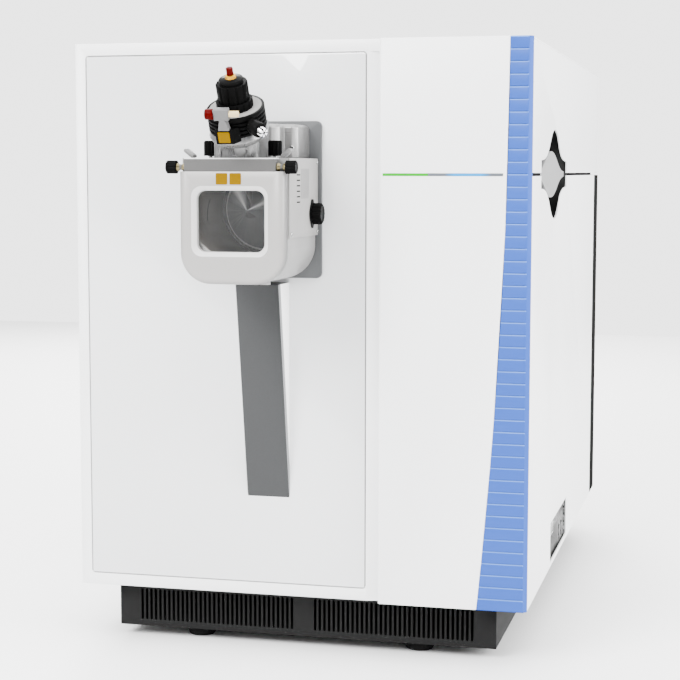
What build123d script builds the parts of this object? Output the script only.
from build123d import *
import math
import os

os.makedirs("parts", exist_ok=True)

# Bench-top mass spectrometer. +X right, +Y to the rear, +Z up, millimetres.
# The origin is the middle of its outer box, on the bench.

# ------------------------------------------------------------ driving sizes
# Case
case_w = 530.0  # across the side panels
case_h = 631.0  # from the underside of the deck to the top
case_d = 782.0  # from the face of the right bezel to the rear panel
bezel_y = -319.1  # face of the right bezel
step_back = 10.7  # how far the left front lies behind the bezel
front_t = 12.0  # depth of the left front moulding
sheet = 2.0  # side, rear and plinth sheet
cover_t = 3.0  # top cover
deck_t = 3.0  # chassis deck
gap = 0.3  # free space between loose neighbours
running = 0.05  # free space of a running fit, on the radius
foot_h = 12.0
foot_r = 16.0
foot_x = 133.0
plinth_h = 54.0
plinth_w = 453.0
plinth_back = 37.4  # plinth face behind the bezel face

# Front
split_x = 96.4  # left edge of the bezel
gloss_margin = 13.5  # white border round the glossy field
gloss_right = 80.2
gloss_t = 5.0
gloss_r = 4.0
groove = 0.6  # open joint round the glossy field
border_fall = 3.5  # the right border slopes back by this much
trim_top_w = 24.4  # ribbed corner trim, width at the top
trim_sweep_r = 6300.0  # its inner edge widens downwards along this radius
trim_bevel = 4.0
trim_return = 4.0  # on the side, behind the bevel
rib_pitch = 13.3
rib_cut = 1.2
light_z = 482.4  # light bar above the deck's underside
light_h = 2.8
light_t = 2.0
light_inset = 4.2  # from the bezel's left edge
light_run = 133.4

# Side panels and hand grips
seam_z = 482.7  # joint between lower and upper panel
seam_gap = 3.5
seam_tab = 50.0  # the upper panel closes the joint over this length at the rear
grip_y = 217.0  # from the bezel face
star_l = 262.0
star_h = 106.0
star_end = 32.0
star_waist = (64.0, 26.8)  # a point that each of its four bell-shaped sides passes
cup_depth = 26.0
cup_wall = 2.0
cup_over = 6.0  # how far the cup reaches past the star
bar_t = 6.0
bar_h = 55.0
bar_waist = (73.0, 12.0)
bar_tip = 3.5  # half the height of its ends
bar_recess = 4.0
port_from = 221.0  # cut-out for the connector panel, from the bezel face
port_to = 401.0
port_low = 6.0  # strip of side sheet left below the cut-out
port_h = 55.0
port_recess = 4.5
rocker_in = 24.0  # switches, from the rear end of the cut-out
rocker_up = 18.0
socket_in = 40.0  # data sockets, from its front end
socket_up = 38.0
corner_post = 60.0  # black rear corner, along the side
corner_half = 24.0  # and across the back

# Chassis
post = 20.0
rail = 8.0
rail_h = 20.0

# Ion source, from its inlet axis
src_x = -32.7
inlet_h = 443.7  # inlet axis above the deck's underside
body_half = 57.7
body_down = 76.6
body_up = 56.2
body_r = 38.0  # lower corners of the housing
bore_r = 50.0
door_reach = 141.7  # door face in front of the glossy field
door_t = 14.0
door_up = 42.0  # the lock bar lies on the door's top edge
door_r = 33.0
door_crown = 7.0
win_x = -2.0  # window centre from the source's middle
win_w = 74.6
win_h = 64.5
win_z = -10.2
win_r = 9.0
win_bevel = 5.0
glass_t = 3.0
glass_lap = 4.0  # how far the glass reaches behind the door
bar_shift = -1.7  # lock bar's middle from the source's middle
bar_half = 50.0
lock_drop = 9.6  # lock axis below the top of the bar
plate_half = 62.5
plate_down = 77.1
plate_up = 97.9
plate_t = 5.7
boss_t = 8.5  # ring that holds the source off its plate
boss_w = 9.0
column_half = 48.7
column_top = 93.0
column_d = 51.4
nose_half = 34.0
nose_d = 24.1
cone_r = 46.0
cone_l = 82.0
cone_base = 14.0
cone_hole = 2.2
knob_r = 7.3
knob_l = 11.4
collar_l = 9.5
collar_r = 4.2
lever_r = 2.0
lever_l = 9.0
lever_w = 12.0
lever_lean = 52.0
lever_x = 50.0
lever_fwd = 114.7
adjust_r = 7.5
adjust_h = 16.3
adjust_x = 35.8
adjust_fwd = 98.7
adjust_rise = 2.1  # grip above the source's top
scale_down = 28.3
scale_t = 1.5
side_knob_r = 12.0
side_knob_l = 10.5
side_knob_fwd = 36.0
side_knob_z = -4.0

# Probe
probe_x = -27.2
tip_fwd = 87.2  # needle tip in front of the glossy field
tip_up = 4.8
tilt = 28.0
turret_low = 80.0
turret_r = 31.5
turret_neck = 21.0
base_half = 25.0
base_shift = -5.0
ring_low = 96.0
ring_top = 118.0
ring_r = 30.5
fins = 5
fin_d = 2.5  # depth of the grooves between the fins
depth_r = 19.3
depth_top = 127.0
lock_r = 16.7
lock_top = 146.0
cap_r = 12.7
cap_top = 150.0
tube_r = 9.0
needle_r = 0.6
stem_r = 3.0
box_h = 16.0  # high-voltage box, on the ring's front
box_d = 7.2
union_up = 25.0  # underside of the tee's arms above the ring's underside
union_h = 12.0
union_t = 7.5
cap_nut_r = 5.6
cap_nut_l = 9.0
thin_nut_r = 3.6
thin_nut_l = 10.0
tip_nut_r = 4.0
tip_nut_l = 8.0
elbow_r = 8.0
inner_elbow_r = 5.0
elbow_l = 13.0
elbow_up = 14.0  # above the ring's underside

# Drain cover and rear
drain_w = 50.5
drain_x = -34.0
drain_low = 114.4
drain_high = 361.3
drain_reach = 43.7
fan_size = 119.0
fan_bore = 57.0
fan_d = 25.0
fan_x = 120.0
fan_z = 330.0
port_bore = 12.5
port_reach = 30.0
port_flange = 20.0
inlet_w = 34.0  # mains inlet
inlet_high = 26.0
inlet_x = -150.0
service_z = 60.0  # row of rear connections above the deck's underside
port_x = (40.0, 110.0)
gas_x = (-60.0, -36.0, -12.0)
gas_r = 5.0
louvre_w = 94.0
louvre_h = 6.0
louvre_pitch = 11.0
louvres = 9

# Inside
manifold_from = -110.0
manifold_w = 170.0
manifold_front = 40.0  # behind the glossy field
manifold_rear = 140.0  # in front of the rear panel
manifold_half = 70.0  # above and below the inlet axis
manifold_wall = 12.0
leg_r = 10.0
rod_r = 6.0
rod_from = 30.0
rod_l = 250.0
rod_hold = 12.0
cell_r = 34.0
cell_h = 80.0
pump_r = 62.0
pump_h = 150.0
pump_wall = 8.0
pump_well = 110.0
rotor_r = 50.0
rotor_l = 100.0
rotor_core = 22.0
stages = 3
board_side = 73.0  # inner board from the right panel
board_gap = 30.0
board_t = 2.0
board_from = 120.0
board_l = 400.0
board_h = 300.0
supply_side = 23.0  # from the left panel
supply_w = 100.0
supply_l = 220.0
supply_h = 160.0
supply_rear = 110.0

# ------------------------------------------------------------ derived places
case_z = foot_h + plinth_h
top_z = case_z + case_h
half_w = case_w / 2
inner_x = half_w - sheet
back_y = bezel_y + case_d
panel_y = bezel_y + step_back
front_back = panel_y + front_t
side_front = bezel_y + trim_bevel + trim_return + gap
plinth_front = bezel_y + plinth_back
plinth_end = back_y - corner_post
deck_top = case_z + deck_t
panel_half = half_w - corner_half
roof = top_z - cover_t
seam = case_z + seam_z
grip_mid = bezel_y + grip_y
inlet_z = case_z + inlet_h
door_y = panel_y - door_reach
body_front = door_y + door_t
plate_y = panel_y - plate_t
body_back = plate_y - boss_t - gap
bar_x = src_x + bar_shift
lock_y = door_y + door_t / 2
lock_z = inlet_z + body_up - lock_drop
body_top = inlet_z + body_up
body_low = inlet_z - body_down
fan_height = case_z + fan_z


def facing(y):
    """Upright plane at a depth y, seen from the front. Extrusions come forward."""
    return Plane.XZ.offset(-y)


def side_on(x):
    """Upright plane at x, seen from the right. Extrusions go to the right."""
    return Plane.YZ.offset(x)


def slab(x_span, y_span, z_span, mode=Mode.ADD):
    """Adds or cuts a block between two limits on each axis."""
    spans = (x_span, y_span, z_span)
    with Locations(tuple(sum(span) / 2 for span in spans)):
        Box(*(span[1] - span[0] for span in spans), mode=mode)


def save(builder, name):
    """Labels a finished piece and writes it."""
    builder.part.label = name
    export_step(builder.part, f"parts/{name}.step")


def slot_outline(width, height):
    """Upright slot whose ends are cut to a blunt point."""
    blunt = 0.4 * width
    with BuildSketch() as slot:
        Rectangle(width, height)
        chamfer(slot.vertices(), length=blunt)
    return slot.sketch


# ------------------------------------------------------------ plinth and feet
grille_t = 2.0
slot_w = 3.2
slot_h = 37.7
slot_pitch = 5.6
slot_count = 34
slot_group_x = 106.4
slot_mid = 26.2  # above the plinth's underside
tray_front = plinth_front + grille_t

with BuildPart() as plinth_grille:
    slab((-plinth_w / 2, plinth_w / 2), (plinth_front, tray_front), (foot_h, case_z))
    with BuildSketch(facing(plinth_front)):
        for group_x in (-slot_group_x, slot_group_x):
            with Locations((group_x, foot_h + slot_mid)):
                with GridLocations(slot_pitch, 1, slot_count, 1):
                    add(slot_outline(slot_w, slot_h))
    extrude(amount=-grille_t, mode=Mode.SUBTRACT)
save(plinth_grille, "plinth_grille")

with BuildPart() as plinth_tray:
    slab((-plinth_w / 2, plinth_w / 2), (tray_front, plinth_end), (foot_h, case_z))
    slab(
        (-plinth_w / 2 + sheet, plinth_w / 2 - sheet),
        (tray_front, plinth_end - sheet),
        (foot_h + sheet, case_z),
        mode=Mode.SUBTRACT,
    )
save(plinth_tray, "plinth_tray")

foot_inset = 27.0
foot_edge = 2.0
foot_rows = (plinth_front + foot_inset, plinth_end - foot_inset)
with BuildPart() as feet:
    for row in foot_rows:
        with Locations((-foot_x, row, foot_h / 2), (foot_x, row, foot_h / 2)):
            Cylinder(foot_r, foot_h)
    chamfer(feet.edges().group_by(Axis.Z)[0], length=foot_edge)
save(feet, "feet")

# ------------------------------------------------------------ chassis
with BuildPart() as chassis_deck:
    slab((-inner_x, inner_x), (front_back, plinth_end), (case_z, deck_top))
    slab((-panel_half, panel_half), (plinth_end, back_y - sheet), (case_z, deck_top))
save(chassis_deck, "chassis_deck")

post_rows = (front_back, plinth_end - post)
cup_half = star_l / 2 + cup_over
rail_span = (post_rows[0] + post + gap, post_rows[1] - gap)
with BuildPart() as chassis_frame:
    for side in (-1, 1):
        post_x = sorted((side * inner_x, side * (inner_x - post)))
        for row in post_rows:
            slab(post_x, (row, row + post), (deck_top, roof))
        slab(post_x, rail_span, (roof - post, roof))
        rail_x = sorted((side * inner_x, side * (inner_x - rail)))
        seam_rail_z = (seam - rail_h / 2, seam + rail_h / 2)
        slab(rail_x, (rail_span[0], grip_mid - cup_half - gap), seam_rail_z)
        slab(rail_x, (grip_mid + cup_half + gap, rail_span[1]), seam_rail_z)
    cross_x = (post + gap - inner_x, inner_x - post - gap)
    for row in post_rows:
        slab(cross_x, (row, row + post), (roof - post, roof))
save(chassis_frame, "chassis_frame")

# ------------------------------------------------------------ side panels and grips


def star_outline():
    """Cut-out round a hand grip: two tall bells back to back, centred on its sketch."""
    top, end = (0, star_h / 2), (star_l / 2, star_end / 2)
    with BuildSketch() as star:
        with BuildLine():
            Spline(top, star_waist, end, tangents=((1, 0), (1, 0)))
            Line(end, (end[0], 0))
            mirror(about=Plane.XZ)
            mirror(about=Plane.YZ)
        make_face()
    return star.sketch


def bar_outline():
    """Leaf-shaped hand grip that lies across the star."""
    tip = (star_l / 2 - 2, bar_tip)
    with BuildSketch() as bar:
        with BuildLine():
            Spline((0, bar_h / 2), bar_waist, tip, tangents=((1, 0), (1, 0)))
            Line(tip, (tip[0], 0))
            mirror(about=Plane.XZ)
            mirror(about=Plane.YZ)
        make_face()
    return bar.sketch


def side_panel(side, z_span, with_port):
    """Flat side sheet with its half of the star, and the port cut-out if it has one."""
    start = side_front if side > 0 else front_back
    end = back_y if z_span[1] > seam else plinth_end
    outer = half_w if side > 0 else -inner_x
    with BuildPart() as panel:
        with BuildSketch(side_on(outer)):
            with Locations(((start + end) / 2, sum(z_span) / 2)):
                Rectangle(end - start, z_span[1] - z_span[0])
            with Locations((grip_mid, seam)):
                add(star_outline(), mode=Mode.SUBTRACT)
            if with_port:
                middle = bezel_y + (port_from + port_to) / 2
                with Locations((middle, case_z + (port_low + port_h) / 2)):
                    Rectangle(port_to - port_from, port_h - port_low, mode=Mode.SUBTRACT)
            if z_span[1] > seam:
                with Locations((plinth_end - seam_tab / 2, seam + gap / 2)):
                    Rectangle(seam_tab, seam_gap - gap)
        extrude(amount=-sheet)
    return panel


lower_span = (case_z, seam - seam_gap / 2)
upper_span = (seam + seam_gap / 2, roof)
save(side_panel(1, lower_span, True), "lower_panel_right")
save(side_panel(1, upper_span, False), "upper_panel_right")
save(side_panel(-1, lower_span, False), "lower_panel_left")
save(side_panel(-1, upper_span, False), "upper_panel_left")

cup_r = 16.0
cup_rise = star_h / 2 + cup_over
with BuildPart() as grip_cups:
    for side in (-1, 1):
        with BuildSketch(side_on(side * inner_x)):
            with Locations((grip_mid, seam)):
                RectangleRounded(2 * cup_half, 2 * cup_rise, cup_r)
        extrude(amount=-side * cup_depth)
        with BuildSketch(side_on(side * inner_x)):
            with Locations((grip_mid, seam)):
                RectangleRounded(
                    2 * (cup_half - cup_wall), 2 * (cup_rise - cup_wall), cup_r - cup_wall
                )
        extrude(amount=-side * (cup_depth - cup_wall), mode=Mode.SUBTRACT)
save(grip_cups, "grip_cups")

bar_post_x = 84.0
bar_post_r = 5.0
with BuildPart() as grip_bars:
    for side in (-1, 1):
        face = side * (half_w - bar_recess)
        with BuildSketch(side_on(face)):
            with Locations((grip_mid, seam)):
                add(bar_outline())
        extrude(amount=-side * bar_t)
        with BuildSketch(side_on(face - side * bar_t)):
            with Locations((grip_mid - bar_post_x, seam), (grip_mid + bar_post_x, seam)):
                Circle(bar_post_r)
        extrude(amount=-side * (cup_depth - cup_wall - bar_t - bar_recess + sheet))
save(grip_bars, "grip_bars")

cover_edge = 2.5
with BuildPart() as top_cover:
    slab((-half_w, half_w), (front_back, back_y), (roof, top_z))
    fillet(top_cover.edges().filter_by(Axis.Y).group_by(Axis.Z)[-1], radius=cover_edge)
save(top_cover, "top_cover")

# ------------------------------------------------------------ front
front_edge = 3.0
slope_from = 2.0  # flat strip between the glossy field and the slope
with BuildPart() as front_frame:
    with BuildSketch(facing(front_back)):
        with Locations(((split_x - half_w) / 2, (case_z + top_z) / 2)):
            Rectangle(split_x + half_w, case_h)
    extrude(amount=front_t)
    fillet(front_frame.faces().sort_by(Axis.X)[0].edges().sort_by(Axis.Y)[0], radius=front_edge)
    slope_w = split_x - gloss_right - slope_from
    with BuildSketch(Plane.XY.offset(case_z)):
        with BuildLine():
            Polyline(
                (split_x, panel_y),
                (split_x - slope_w, panel_y),
                (split_x, panel_y + border_fall),
                close=True,
            )
        make_face()
    extrude(amount=case_h - gloss_margin, mode=Mode.SUBTRACT)
    gloss_w = gloss_right + half_w - gloss_margin
    gloss_h = case_h - 2 * gloss_margin
    gloss_x = (gloss_right - half_w + gloss_margin) / 2
    gloss_z = (case_z + top_z) / 2
    with BuildSketch(facing(panel_y)):
        with Locations((gloss_x, gloss_z)):
            RectangleRounded(gloss_w, gloss_h, gloss_r)
    extrude(amount=-gloss_t, mode=Mode.SUBTRACT)
save(front_frame, "front_frame")

with BuildPart() as gloss_panel:
    with BuildSketch(facing(panel_y + gloss_t)):
        with Locations((gloss_x, gloss_z)):
            RectangleRounded(gloss_w - 2 * groove, gloss_h - 2 * groove, gloss_r - groove)
    extrude(amount=gloss_t)
save(gloss_panel, "gloss_panel")


def trim_edge(z):
    """Inner edge of the corner trim at height z: it sweeps away from the corner."""
    return half_w - trim_top_w - (top_z - z) ** 2 / (2 * trim_sweep_r)


front_d = front_back - bezel_y
bezel_wall = 3.0
with BuildPart() as status_bezel:
    with BuildSketch(facing(front_back)):
        with BuildLine():
            Polyline(
                (trim_edge(top_z), top_z),
                (split_x, top_z),
                (split_x, case_z),
                (trim_edge(case_z), case_z),
            )
            middle_z = (case_z + top_z) / 2
            ThreePointArc(
                (trim_edge(case_z), case_z),
                (trim_edge(middle_z), middle_z),
                (trim_edge(top_z), top_z),
            )
        make_face()
    extrude(amount=front_d)
    left_face = status_bezel.faces().sort_by(Axis.X)[0]
    fillet(left_face.edges().filter_by(Axis.Z).sort_by(Axis.Y)[0], radius=front_edge)
    slab(
        (split_x + bezel_wall, trim_edge(case_z) - bezel_wall),
        (bezel_y + bezel_wall, front_back),
        (case_z + bezel_wall, top_z - bezel_wall),
        mode=Mode.SUBTRACT,
    )
    light_x = (split_x + light_inset, split_x + light_inset + light_run)
    light_span = (case_z + light_z - light_h / 2, case_z + light_z + light_h / 2)
    slab(light_x, (bezel_y, bezel_y + light_t), light_span, mode=Mode.SUBTRACT)
save(status_bezel, "status_bezel")

with BuildPart() as status_light:
    slab(light_x, (bezel_y, bezel_y + light_t), light_span)
save(status_light, "status_light")

rib_count = round(case_h / rib_pitch)
rib_over = 0.4 * rib_cut  # each groove has a short slope above its deepest line
rib_under = 3.4 * rib_cut  # and a long one below it
with BuildPart() as corner_trim:
    with BuildSketch(Plane.XY.offset(case_z)):
        with BuildLine():
            Polyline(
                (split_x + (half_w - split_x) / 2, bezel_y),
                (half_w - trim_bevel, bezel_y),
                (half_w, bezel_y + trim_bevel),
                (half_w, side_front - gap),
                (inner_x, side_front - gap),
                (inner_x, front_back),
                (split_x + (half_w - split_x) / 2, front_back),
                close=True,
            )
        make_face()
    extrude(amount=case_h)
    with BuildSketch(facing(front_back)):
        with BuildLine():
            Polyline(
                (trim_edge(top_z), top_z),
                (split_x, top_z),
                (split_x, case_z),
                (trim_edge(case_z), case_z),
            )
            ThreePointArc(
                (trim_edge(case_z), case_z),
                (trim_edge(middle_z), middle_z),
                (trim_edge(top_z), top_z),
            )
        make_face()
    extrude(amount=front_d, mode=Mode.SUBTRACT)
    with BuildSketch(side_on(trim_edge(case_z) - 1)):
        for rib in range(1, rib_count):
            level = case_z + case_h * rib / rib_count
            with BuildLine():
                Polyline(
                    (bezel_y - 1, level + rib_over),
                    (bezel_y + rib_cut, level),
                    (bezel_y - 1, level - rib_under),
                    close=True,
                )
            make_face()
    extrude(amount=half_w - trim_edge(case_z) - trim_bevel, mode=Mode.SUBTRACT)
save(corner_trim, "corner_trim")

# ------------------------------------------------------------ connector panel
port_y = (bezel_y + port_from - sheet, bezel_y + port_to + sheet)
port_face = half_w - port_recess
port_top = case_z + port_h + sheet
rocker_w = 9.0
rocker_h = 20.0
rocker_d = 6.0
rocker_z = case_z + rocker_up
rocker_rows = (bezel_y + port_to - rocker_in, bezel_y + port_to - 2 * rocker_in)
socket_w = 17.0
socket_h = 15.0
socket_rows = (bezel_y + port_from + socket_in, bezel_y + port_from + 1.5 * socket_in)
socket_z = case_z + socket_up
with BuildPart() as connector_panel:
    slab((port_face - sheet, inner_x), port_y, (deck_top, port_top))
    slab(
        (port_face, inner_x),
        (port_y[0] + sheet, port_y[1] - sheet),
        (deck_top, port_top - sheet),
        mode=Mode.SUBTRACT,
    )
    with BuildSketch(side_on(port_face)):
        for row in rocker_rows:
            with Locations((row, rocker_z)):
                Rectangle(rocker_w + 2 * gap, rocker_h + 2 * gap)
        for row in socket_rows:
            with Locations((row, socket_z)):
                Rectangle(socket_w, socket_h)
    extrude(amount=-sheet, mode=Mode.SUBTRACT)
save(connector_panel, "connector_panel")

socket_wall = 2.0
socket_d = 16.0
with BuildPart() as network_sockets:
    with BuildSketch(side_on(port_face - socket_d)):
        with Locations(*((row, socket_z) for row in socket_rows)):
            Rectangle(socket_w, socket_h)
    extrude(amount=socket_d)
    with BuildSketch(side_on(port_face)):
        with Locations(*((row, socket_z) for row in socket_rows)):
            Rectangle(socket_w - 2 * socket_wall, socket_h - 2 * socket_wall)
    extrude(amount=-(socket_d - socket_wall), mode=Mode.SUBTRACT)
save(network_sockets, "network_sockets")

# Each rocker is a shallow V seen from the side and turns on a pin in its bracket.
rocker_pivot = port_face - 3.0
for name, row in zip(("rocker_switch_front", "rocker_switch_rear"), rocker_rows):
    with BuildPart() as rocker:
        with BuildSketch(Plane.XZ.offset(-(row + rocker_w / 2))):
            with BuildLine():
                Polyline(
                    (rocker_pivot - rocker_d / 2, rocker_z - rocker_h / 4),
                    (rocker_pivot + rocker_d / 2, rocker_z - rocker_h / 2 + 1),
                    (rocker_pivot + rocker_d / 2 - 1, rocker_z),
                    (rocker_pivot + rocker_d / 2 + 1, rocker_z + rocker_h / 2 - 1),
                    (rocker_pivot - rocker_d / 2, rocker_z + rocker_h / 4),
                    close=True,
                )
            make_face()
        extrude(amount=rocker_w)
    save(rocker, name)

# ------------------------------------------------------------ rear
with BuildPart() as rear_posts:
    for side in (-1, 1):
        near, far = sorted((side * half_w, side * panel_half))
        slab((near, far), (plinth_end, back_y), (case_z, seam - seam_gap / 2))
save(rear_posts, "rear_posts")

inlet_at = (inlet_x, case_z + service_z)
port_at = tuple((x, case_z + service_z) for x in port_x)
gas_at = tuple((x, case_z + service_z) for x in gas_x)
fan_at = ((-fan_x, fan_height), (fan_x, fan_height))
port_wall = 3.0
with BuildPart() as rear_panel:
    with BuildSketch(facing(back_y)):
        with Locations((0, (case_z + roof) / 2)):
            Rectangle(2 * panel_half, roof - case_z)
        with Locations((0, (seam + roof) / 2 + seam_gap / 4)):
            Rectangle(2 * inner_x, roof - seam - seam_gap / 2)
        with Locations(*fan_at):
            with GridLocations(1, louvre_pitch, 1, louvres):
                add(slot_outline(louvre_h, louvre_w), rotation=90, mode=Mode.SUBTRACT)
        with Locations(*port_at):
            Circle(port_bore + port_wall, mode=Mode.SUBTRACT)
        with Locations(*gas_at):
            Circle(gas_r, mode=Mode.SUBTRACT)
        with Locations(inlet_at):
            Rectangle(inlet_w, inlet_high, mode=Mode.SUBTRACT)
    extrude(amount=sheet)
save(rear_panel, "rear_panel")

rear_in = back_y - sheet
rim_t = 1.5
inlet_lap = 5.0
inlet_wall = 3.0
inlet_d = 28.0
with BuildPart() as mains_inlet:
    with BuildSketch(facing(back_y + rim_t)):
        with Locations(inlet_at):
            RectangleRounded(inlet_w + 2 * inlet_lap, inlet_high + 2 * inlet_lap, 3)
    extrude(amount=rim_t)
    with BuildSketch(facing(back_y)):
        with Locations(inlet_at):
            Rectangle(inlet_w, inlet_high)
    extrude(amount=inlet_d)
    with BuildSketch(facing(back_y + rim_t)):
        with Locations(inlet_at):
            Rectangle(inlet_w - 2 * inlet_wall, inlet_high - 2 * inlet_wall)
    extrude(amount=inlet_d - 2 * inlet_wall, mode=Mode.SUBTRACT)
save(mains_inlet, "mains_inlet")

flange_w = 4.0
fitting_l = 14.0
with BuildPart() as rear_ports:
    with BuildSketch(facing(back_y + port_reach)):
        with Locations(*port_at):
            Circle(port_bore + port_wall)
    extrude(amount=port_reach + sheet)
    with BuildSketch(facing(back_y + port_reach)):
        with Locations(*port_at):
            Circle(port_flange)
    extrude(amount=flange_w)
    with BuildSketch(facing(back_y + port_reach)):
        with Locations(*port_at):
            Circle(port_bore)
    extrude(amount=port_reach + sheet, mode=Mode.SUBTRACT)
    with BuildSketch(facing(back_y)):
        with Locations(*gas_at):
            Circle(gas_r)
    extrude(amount=sheet)
    with BuildSketch(facing(back_y + fitting_l)):
        with Locations(*gas_at):
            RegularPolygon(gas_r + 2, 6)
    extrude(amount=fitting_l)
save(rear_ports, "rear_ports")

fan_y = (rear_in - fan_d, rear_in)
fan_r = 6.0  # corners of the frame
hub_r = 20.0
spindle_r = 3.0
spindle_l = 14.0
spoke_t = 4.0
spoke_w = 6.0
with BuildPart() as fan_frames:
    with BuildSketch(facing(fan_y[1])):
        with Locations(*fan_at):
            RectangleRounded(fan_size, fan_size, fan_r)
        with Locations(*fan_at):
            Circle(fan_bore, mode=Mode.SUBTRACT)
    extrude(amount=fan_d)
    with BuildSketch(facing(fan_y[0] + spoke_t)):
        with Locations(*fan_at):
            Circle(hub_r)
            Rectangle(2 * fan_bore + 2, spoke_w)
            Rectangle(spoke_w, 2 * fan_bore + 2)
    extrude(amount=spoke_t)
    with BuildSketch(facing(fan_y[0] + spoke_t + spindle_l)):
        with Locations(*fan_at):
            Circle(spindle_r)
    extrude(amount=spindle_l)
save(fan_frames, "fan_frames")

blade_count = 5
blade_w = 14.0
blade_t = 2.0
blade_pitch = 30.0
rotor_t = fan_d - spoke_t - 3
for name, at in zip(("fan_rotor_left", "fan_rotor_right"), fan_at):
    with BuildPart() as rotor:
        with BuildSketch(facing(fan_y[1] - 2)):
            with Locations(at):
                Circle(hub_r)
        extrude(amount=rotor_t)
        with BuildSketch(facing(fan_y[0] + spoke_t + spindle_l + 1)):
            with Locations(at):
                Circle(spindle_r + running)
        extrude(amount=spindle_l + 1, mode=Mode.SUBTRACT)
        for blade in range(blade_count):
            turn = 2 * math.pi * blade / blade_count
            root = Plane(
                origin=(at[0], fan_y[1] - fan_d / 2 + 2, at[1]),
                x_dir=(0, 1, 0),
                z_dir=(math.cos(turn), 0, math.sin(turn)),
            )
            with BuildSketch(root.offset(hub_r - 1)):
                Rectangle(blade_w, blade_t, rotation=blade_pitch)
            extrude(amount=fan_bore - 3 - hub_r + 1)
    save(rotor, name)

# ------------------------------------------------------------ ion source, fixed side
plate_r = 6.0
with BuildPart() as mount_plate:
    with BuildSketch(facing(panel_y)):
        with Locations((src_x, inlet_z + (plate_up - plate_down) / 2)):
            RectangleRounded(2 * plate_half, plate_up + plate_down, plate_r)
        with Locations((src_x, inlet_z)):
            Circle(cone_r, mode=Mode.SUBTRACT)
    extrude(amount=plate_t)
    with BuildSketch(facing(plate_y)):
        with Locations((src_x, inlet_z)):
            Circle(cone_r + boss_w)
            Circle(cone_r, mode=Mode.SUBTRACT)
    extrude(amount=boss_t)
save(mount_plate, "mount_plate")

column_low = body_top + gap
column_cut = 6.0  # corners of the column and of the nose in front of it
nose_cut = 8.0
column_edge = 3.0
column_y = plate_y - column_d
nose_y = column_y - nose_d
with BuildPart() as mount_column:
    with BuildSketch(Plane.XY.offset(column_low)):
        with BuildLine():
            Polyline(
                (src_x + column_half, plate_y),
                (src_x + column_half, column_y + column_cut),
                (src_x + column_half - column_cut, column_y),
                (src_x + nose_half, column_y),
                (src_x + nose_half, nose_y + nose_cut),
                (src_x + nose_half - nose_cut, nose_y),
                (src_x, nose_y),
                (src_x, plate_y),
                close=True,
            )
        make_face()
    extrude(amount=inlet_z + column_top - column_low)
    mirror(about=Plane.YZ.offset(src_x))
    chamfer(mount_column.faces().sort_by(Axis.Z)[-1].edges(), length=column_edge)
save(mount_column, "mount_column")

with BuildPart() as inlet_cone:
    with BuildSketch(Plane(origin=(src_x, panel_y, inlet_z), x_dir=(1, 0, 0), z_dir=(0, 0, 1))):
        with BuildLine():
            Polyline(
                (0, 0),
                (cone_r - running, 0),
                (cone_r - running, -cone_base),
                (cone_hole, -cone_l),
                (0, -cone_l),
                close=True,
            )
        make_face()
    revolve(axis=Axis((src_x, panel_y, inlet_z), (0, 1, 0)))
save(inlet_cone, "inlet_cone")

with BuildPart() as drain_cover:
    with BuildSketch(side_on(drain_x - drain_w / 2)):
        with BuildLine():
            Polyline(
                (panel_y, case_z + drain_low),
                (panel_y, case_z + drain_high),
                (panel_y - drain_reach, case_z + drain_high),
                close=True,
            )
        make_face()
    extrude(amount=drain_w)
save(drain_cover, "drain_cover")

# ------------------------------------------------------------ the probe's own frame
slant = math.radians(tilt)
probe = Plane(
    origin=(probe_x, panel_y - tip_fwd, inlet_z + tip_up),
    x_dir=(1, 0, 0),
    z_dir=(0, -math.sin(slant), math.cos(slant)),
)
probe_axis = Axis(probe.origin, probe.z_dir)
probe_cut = Plane(origin=probe.origin, x_dir=(1, 0, 0), z_dir=probe.y_dir * -1)

# ------------------------------------------------------------ ion source, removable side
def body_outline(top, corner):
    """U-shaped section of the source: square top, deep round bottom corners."""
    side_end = (body_half, corner - body_down)
    foot_end = (body_half - corner, -body_down)
    with BuildSketch() as outline:
        with BuildLine():
            Polyline((0, top), (body_half, top), side_end)
            RadiusArc(side_end, foot_end, corner)
            Line(foot_end, (0, -body_down))
            mirror(about=Plane.YZ)
        make_face()
    return outline.sketch


drain_r = 5.5
drain_side = 16.5
drain_l = 4.0
with BuildPart() as source_housing:
    with BuildSketch(facing(body_back)):
        with Locations((src_x, inlet_z)):
            add(body_outline(body_up, body_r))
            Circle(bore_r, mode=Mode.SUBTRACT)
    extrude(amount=body_back - body_front)
    with BuildSketch(Plane.XY.offset(body_low)):
        with Locations((src_x + drain_side, (body_front + body_back) / 2)):
            Circle(drain_r)
    extrude(amount=-drain_l)
    with BuildSketch(probe):
        Circle(tube_r)
    extrude(amount=turret_low, mode=Mode.SUBTRACT)
save(source_housing, "source_housing")

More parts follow.
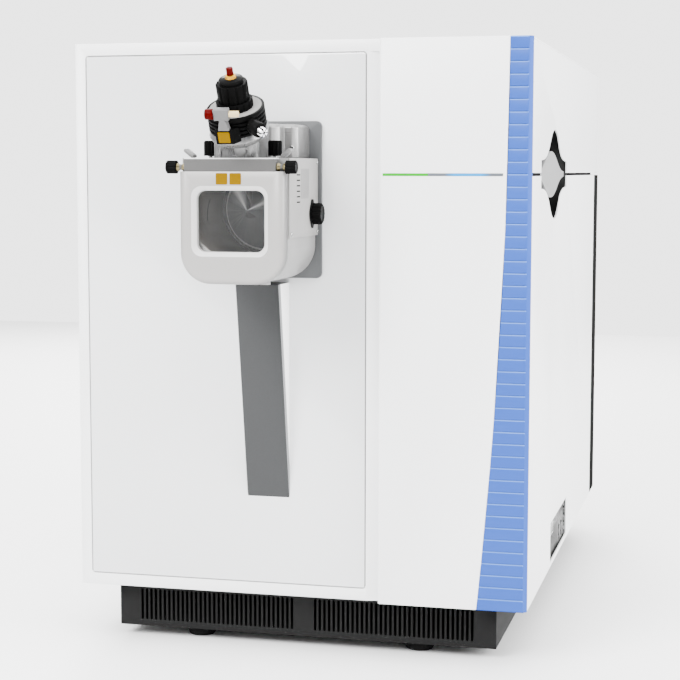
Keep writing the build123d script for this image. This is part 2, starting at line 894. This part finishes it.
glass_at = (src_x + win_x, inlet_z + win_z)
glass_w = win_w + 2 * glass_lap
glass_h = win_h + 2 * glass_lap
sill = door_t * 0.7  # depth of the square part of the window opening
with BuildPart() as source_door:
    with BuildSketch(facing(body_front)):
        with Locations((src_x, inlet_z)):
            add(body_outline(door_up, door_r))
    extrude(amount=door_t)
    rim = source_door.faces().sort_by(Axis.Y)[0].edges()
    fillet(rim.filter_by(lambda edge: edge.center().Z < inlet_z + door_up - 1), radius=door_crown)
    with BuildSketch(facing(body_front - sill)):
        with Locations(glass_at):
            RectangleRounded(win_w, win_h, win_r)
    with BuildSketch(facing(door_y)):
        with Locations(glass_at):
            RectangleRounded(
                win_w + 2 * win_bevel, win_h + 2 * win_bevel, win_r + win_bevel / 2
            )
    loft(mode=Mode.SUBTRACT)
    with BuildSketch(facing(body_front)):
        with Locations(glass_at):
            RectangleRounded(win_w, win_h, win_r)
    extrude(amount=door_t, mode=Mode.SUBTRACT)
    with BuildSketch(facing(body_front)):
        with Locations(glass_at):
            RectangleRounded(glass_w, glass_h, win_r)
    extrude(amount=glass_t, mode=Mode.SUBTRACT)
save(source_door, "source_door")

with BuildPart() as window_glass:
    with BuildSketch(facing(body_front)):
        with Locations(glass_at):
            RectangleRounded(glass_w, glass_h, win_r)
    extrude(amount=glass_t)
save(window_glass, "window_glass")

axle_r = 3.0
axle_l = collar_l + knob_l - 2
bar_edge = 1.5
with BuildPart() as door_bar:
    slab((bar_x - bar_half, bar_x + bar_half), (door_y, body_front), (inlet_z + door_up, body_top))
    fillet(door_bar.edges().filter_by(Axis.X).group_by(Axis.Y)[0], radius=bar_edge)
    for side in (-1, 1):
        with BuildSketch(side_on(bar_x + side * bar_half)):
            with Locations((lock_y, lock_z)):
                Circle(axle_r)
        extrude(amount=side * axle_l)
save(door_bar, "door_bar")

flute_r = 1.2
flutes = 12


def fluted(radius, hole, count=flutes, cut=flute_r):
    """Section of a round grip with flutes along it and a hole for its spindle."""
    with BuildSketch() as section:
        Circle(radius)
        with PolarLocations(radius, count):
            RegularPolygon(cut, 4, mode=Mode.SUBTRACT)
        if hole:
            Circle(hole, mode=Mode.SUBTRACT)
    return section.sketch


for name, side in (("lock_knob_left", -1), ("lock_knob_right", 1)):
    with BuildPart() as lock_knob:
        start = Plane(
            origin=(bar_x + side * (bar_half + gap), lock_y, lock_z),
            x_dir=(0, 1, 0),
            z_dir=(side, 0, 0),
        )
        with BuildSketch(start):
            Circle(collar_r)
        extrude(amount=collar_l)
        with BuildSketch(start.offset(collar_l)):
            add(fluted(knob_r, 0))
        extrude(amount=knob_l)
        with BuildSketch(start):
            Circle(axle_r + running)
        extrude(amount=axle_l, mode=Mode.SUBTRACT)
    save(lock_knob, name)

lever_y = panel_y - lever_fwd - lever_w / 2
for name, side in (("release_lever_left", -1), ("release_lever_right", 1)):
    with BuildPart() as lever:
        lean = math.radians(lever_lean)
        root = Plane(
            origin=(src_x + side * lever_x, lever_y, body_top + gap + lever_r),
            x_dir=(math.cos(lean), 0, -side * math.sin(lean)),
            z_dir=(0, 1, 0),
        )
        with BuildSketch(root):
            with Locations((0, -lever_l / 2)):
                SlotCenterToCenter(lever_l, 2 * lever_r, rotation=90)
        extrude(amount=lever_w)
    save(lever, name)

adjust_stem = 2.5
for name, side in (("adjust_knob_left", -1), ("adjust_knob_right", 1)):
    with BuildPart() as adjust_knob:
        base = Plane.XY.offset(body_top + gap).move(
            Location((src_x + side * adjust_x, panel_y - adjust_fwd, 0))
        )
        with BuildSketch(base):
            Circle(adjust_stem)
        extrude(amount=adjust_rise)
        with BuildSketch(base.offset(adjust_rise)):
            add(fluted(adjust_r, 0))
        extrude(amount=adjust_h)
    save(adjust_knob, name)

side_x = src_x + body_half
scale_face = side_x + scale_t
scale_y = (body_front + gap + scale_t, panel_y - boss_t)
scale_z = (inlet_z - scale_down, body_top)
knob_at = (panel_y - side_knob_fwd, inlet_z + side_knob_z)
flange_t = 2.0
flange_r = 10.5
ear_r = 3.4
ear_rise = 12.4
with BuildPart() as scale_plate:
    slab((side_x, scale_face), scale_y, scale_z)
    with BuildSketch(side_on(scale_face)):
        with Locations(knob_at):
            Circle(flange_r)
            with Locations((0, -ear_rise), (0, ear_rise)):
                Circle(ear_r)
        make_hull()
    extrude(amount=flange_t)
    with BuildSketch(side_on(scale_face + flange_t)):
        with Locations(knob_at):
            Circle(axle_r)
    extrude(amount=side_knob_l - 2)
save(scale_plate, "scale_plate")

with BuildPart() as side_knob:
    knob_plane = Plane(
        origin=(scale_face + flange_t + gap, knob_at[0], knob_at[1]),
        x_dir=(0, 1, 0),
        z_dir=(1, 0, 0),
    )
    with BuildSketch(knob_plane):
        add(fluted(side_knob_r, 0))
    extrude(amount=side_knob_l)
    with BuildSketch(knob_plane):
        Circle(axle_r + running)
    extrude(amount=side_knob_l - 2, mode=Mode.SUBTRACT)
save(side_knob, "side_knob")

# ------------------------------------------------------------ probe
def profile(*points):
    """Half section of a turned piece, from points of (radius, height from the tip)."""
    with BuildSketch(probe_cut) as half:
        with BuildLine():
            Polyline(*points, close=True)
        make_face()
    return half.sketch


base_x = probe_x + base_shift
base_y = (body_front + gap, nose_y - gap)
base_r = 7.0
sunk_half = 16.0  # shallow recess in the front of the base
sunk_h = 9.0
sunk_d = 3.0
with BuildPart() as probe_turret:
    with BuildSketch(Plane.XY.offset(body_top)):
        with Locations((base_x, sum(base_y) / 2)):
            RectangleRounded(2 * base_half, base_y[1] - base_y[0], base_r)
    extrude(amount=turret_low)
    split(bisect_by=probe.offset(turret_low), keep=Keep.BOTTOM)
    slab(
        (base_x - sunk_half, base_x + sunk_half),
        (base_y[0], base_y[0] + sunk_d),
        (body_top, body_top + sunk_h),
        mode=Mode.SUBTRACT,
    )
    bowl = profile(
        (0, turret_low),
        (turret_neck, turret_low),
        (turret_r - 2, ring_low - 10),
        (turret_r, ring_low - 6),
        (turret_r - 3, ring_low),
        (0, ring_low),
    )
    revolve(bowl, axis=probe_axis)
    with BuildSketch(probe):
        Circle(tube_r)
    extrude(amount=ring_low, mode=Mode.SUBTRACT)
save(probe_turret, "probe_turret")

fin_pitch = (ring_top - ring_low) / fins
with BuildPart() as fin_ring:
    outline = [(tube_r, ring_low)]
    for fin in range(fins):
        level = ring_low + fin * fin_pitch
        outline.append((ring_r, level))
        outline.append((ring_r, level + fin_pitch / 2))
        if fin < fins - 1:
            outline.append((ring_r - fin_d, level + fin_pitch / 2))
            outline.append((ring_r - fin_d, level + fin_pitch))
    outline.append((ring_r, ring_top))
    outline.append((tube_r, ring_top))
    revolve(profile(*outline), axis=probe_axis)
save(fin_ring, "fin_ring")

cap_t = 4.0
ferrule_r = 5.5
needle_l = 8.0
taper_l = 6.0
stem_top = 38.0
with BuildPart() as sprayer:
    stem = profile(
        (0, 0),
        (needle_r, 0),
        (2 * needle_r, needle_l),
        (stem_r, needle_l + taper_l),
        (stem_r, stem_top),
        (tube_r - running, stem_top + taper_l),
        (tube_r - running, cap_top - cap_t),
        (cap_r, cap_top - cap_t),
        (cap_r, cap_top),
        (ferrule_r, cap_top + 1),
        (ferrule_r, cap_top + cap_t),
        (0, cap_top + cap_t),
    )
    revolve(stem, axis=probe_axis)
save(sprayer, "sprayer")

depth_flutes = 16
lock_flute_r = 1.6
with BuildPart() as depth_nut:
    with BuildSketch(probe.offset(ring_top)):
        add(fluted(depth_r, tube_r, depth_flutes))
    extrude(amount=depth_top - ring_top - gap)
save(depth_nut, "depth_nut")

with BuildPart() as lock_nut:
    with BuildSketch(probe.offset(depth_top)):
        add(fluted(lock_r, tube_r, flutes, lock_flute_r))
    extrude(amount=lock_top - depth_top - gap)
save(lock_nut, "lock_nut")


def on_probe(x, forward, height, x_dir=(1, 0, 0), z_dir=None):
    """Plane at a place given in the probe's own frame, forward being towards the user."""
    place = probe.from_local_coords(Vector(x, -forward, height))
    return Plane(origin=place, x_dir=x_dir, z_dir=z_dir or probe.z_dir)


box_front = ring_r + gap + box_d
box_low = ring_low - 2.5
box_left = -13.3
box_right = 12.0
box_cut = 6.5  # the right side slants in towards the front
with BuildPart() as high_voltage_box:
    with BuildSketch(probe.offset(box_low)):
        with BuildLine():
            Polyline(
                (box_left, -ring_r - gap),
                (box_left, -box_front),
                (box_right - box_cut, -box_front),
                (box_right, -ring_r - gap),
                close=True,
            )
        make_face()
    extrude(amount=box_h)
save(high_voltage_box, "high_voltage_box")

# The tee of the ground union: its foot stands on the box, its arms carry the nuts.
arm_left, arm_right = -11.7, 4.5
foot_left, foot_right = -9.0, 3.0
foot_taper = 2.8
foot_z = box_low + box_h
arm_z = ring_low + union_up
union_front = box_front + 1.5
with BuildPart() as ground_union:
    with BuildSketch(on_probe(0, union_front, 0, z_dir=probe.y_dir * -1)):
        with BuildLine():
            Polyline(
                (foot_left, foot_z),
                (foot_left + foot_taper, arm_z),
                (arm_left, arm_z),
                (arm_left, arm_z + union_h),
                (arm_right, arm_z + union_h),
                (arm_right, arm_z),
                (foot_right - foot_taper, arm_z),
                (foot_right, foot_z),
                close=True,
            )
        make_face()
    extrude(amount=-union_t)
save(ground_union, "ground_union")

nut_low = arm_z + union_h / 2
nut_front = union_front - union_t / 2
with BuildPart() as fluid_nuts:
    with BuildSketch(on_probe(arm_left, nut_front, nut_low, (0, 1, 0), (-1, 0, 0))):
        Circle(cap_nut_r)
    extrude(amount=cap_nut_l)
    with BuildSketch(on_probe(arm_right, nut_front, nut_low, (0, 1, 0), (1, 0, 0))):
        RegularPolygon(thin_nut_r, 6)
    extrude(amount=thin_nut_l)
    with BuildSketch(probe.offset(cap_top + cap_t)):
        RegularPolygon(tip_nut_r, 6)
    extrude(amount=tip_nut_l)
save(fluid_nuts, "fluid_nuts")

# The gas connector leaves the ring between front and right, then bends outwards and down.
elbow_out = Vector(0.78, -0.5, -0.38).normalized()
elbow_at = ring_r * 0.72
with BuildPart() as gas_connector:
    radial = (probe.x_dir - probe.y_dir).normalized()
    seat = probe.from_local_coords(Vector(0, 0, ring_low + elbow_up)) + radial * (ring_r + gap)
    with BuildSketch(Plane(origin=seat, x_dir=probe.z_dir, z_dir=radial)):
        Circle(inner_elbow_r)
    extrude(amount=elbow_r)
    elbow = on_probe(
        elbow_at + 2, elbow_at + 3, ring_low + elbow_up - 2, (0, 0, 1), elbow_out
    )
    with BuildSketch(elbow):
        Circle(elbow_r)
    extrude(amount=elbow_l)
    with BuildSketch(elbow.offset(elbow_l)):
        Circle(inner_elbow_r)
    extrude(amount=elbow_l / 2)
save(gas_connector, "gas_connector")

# ------------------------------------------------------------ inside
manifold_x = (manifold_from, manifold_from + manifold_w)
manifold_y = (panel_y + manifold_front, back_y - manifold_rear)
manifold_z = (inlet_z - manifold_half, inlet_z + manifold_half)
lid_z = manifold_z[1] - manifold_wall
neck_r = 20.0
neck_bore = 14.0
with BuildPart() as vacuum_manifold:
    slab(manifold_x, manifold_y, (manifold_z[0], lid_z))
    slab(
        (manifold_x[0] + manifold_wall, manifold_x[1] - manifold_wall),
        (manifold_y[0] + manifold_wall, manifold_y[1] - manifold_wall),
        (manifold_z[0] + manifold_wall, lid_z),
        mode=Mode.SUBTRACT,
    )
    for x in (manifold_x[0] + 1.5 * leg_r, manifold_x[1] - 1.5 * leg_r):
        for y in (manifold_y[0] + 1.5 * leg_r, manifold_y[1] - 1.5 * leg_r):
            with Locations((x, y, (deck_top + manifold_z[0]) / 2)):
                Cylinder(leg_r, manifold_z[0] - deck_top)
    with BuildSketch(facing(manifold_y[0])):
        with Locations((src_x, inlet_z)):
            Circle(neck_r)
            Circle(neck_bore, mode=Mode.SUBTRACT)
    extrude(amount=manifold_y[0] - front_back)
save(vacuum_manifold, "vacuum_manifold")

with BuildPart() as manifold_lid:
    slab(manifold_x, manifold_y, (lid_z, manifold_z[1]))
save(manifold_lid, "manifold_lid")

rod_y = (manifold_y[0] + rod_from, manifold_y[0] + rod_from + rod_l)
floor_z = manifold_z[0] + manifold_wall
hold_half = 3.4 * rod_r
rod_sides = 10
with BuildPart() as ion_optics:
    with BuildSketch(facing(rod_y[1])):
        with Locations((src_x, inlet_z)):
            with GridLocations(2.3 * rod_r, 2.3 * rod_r, 2, 2):
                RegularPolygon(rod_r, rod_sides)
    extrude(amount=rod_l)
    for y in (rod_y[0] + 2 * rod_hold, rod_y[1] - 2 * rod_hold):
        slab(
            (src_x - hold_half, src_x + hold_half),
            (y - rod_hold / 2, y + rod_hold / 2),
            (floor_z, inlet_z + hold_half),
        )
    with BuildSketch(Plane.XY.offset(floor_z)):
        with Locations((src_x, (rod_y[1] + manifold_y[1]) / 2)):
            Circle(cell_r)
    extrude(amount=cell_h)
save(ion_optics, "ion_optics")

pump_at = (sum(manifold_x) / 2, sum(manifold_y) / 2)
pump_top = manifold_z[0]
well_floor = pump_top - pump_well
bearing_r = 8.0
bearing_h = 30.0
with BuildPart() as turbo_pump:
    with BuildSketch(Plane.XY.offset(pump_top - pump_h)):
        with Locations(pump_at):
            Circle(pump_r)
    extrude(amount=pump_h)
    with BuildSketch(Plane.XY.offset(pump_top)):
        with Locations(pump_at):
            Circle(pump_r - pump_wall)
    extrude(amount=-pump_well, mode=Mode.SUBTRACT)
    with BuildSketch(Plane.XY.offset(well_floor)):
        with Locations(pump_at):
            Circle(bearing_r)
    extrude(amount=bearing_h)
save(turbo_pump, "turbo_pump")

rotor_sides = 18
stage_t = 8.0
stage_pitch = 24.0
with BuildPart() as turbo_rotor:
    with BuildSketch(Plane.XY.offset(well_floor + gap)):
        with Locations(pump_at):
            RegularPolygon(rotor_core, rotor_sides)
    extrude(amount=rotor_l)
    for stage in range(stages):
        with BuildSketch(Plane.XY.offset(well_floor + bearing_h + stage_pitch * stage)):
            with Locations(pump_at):
                RegularPolygon(rotor_r, rotor_sides)
        extrude(amount=stage_t)
    with BuildSketch(Plane.XY.offset(well_floor + gap)):
        with Locations(pump_at):
            Circle(bearing_r + running)
    extrude(amount=bearing_h, mode=Mode.SUBTRACT)
save(turbo_rotor, "turbo_rotor")

board_x = inner_x - board_side
with BuildPart() as circuit_boards:
    for near in (board_x, board_x + board_gap):
        slab(
            (near, near + board_t),
            (panel_y + board_from, panel_y + board_from + board_l),
            (deck_top, deck_top + board_h),
        )
save(circuit_boards, "circuit_boards")

with BuildPart() as power_supply:
    slab(
        (supply_side - inner_x, supply_side - inner_x + supply_w),
        (back_y - supply_rear - supply_l, back_y - supply_rear),
        (deck_top, deck_top + supply_h),
    )
save(power_supply, "power_supply")
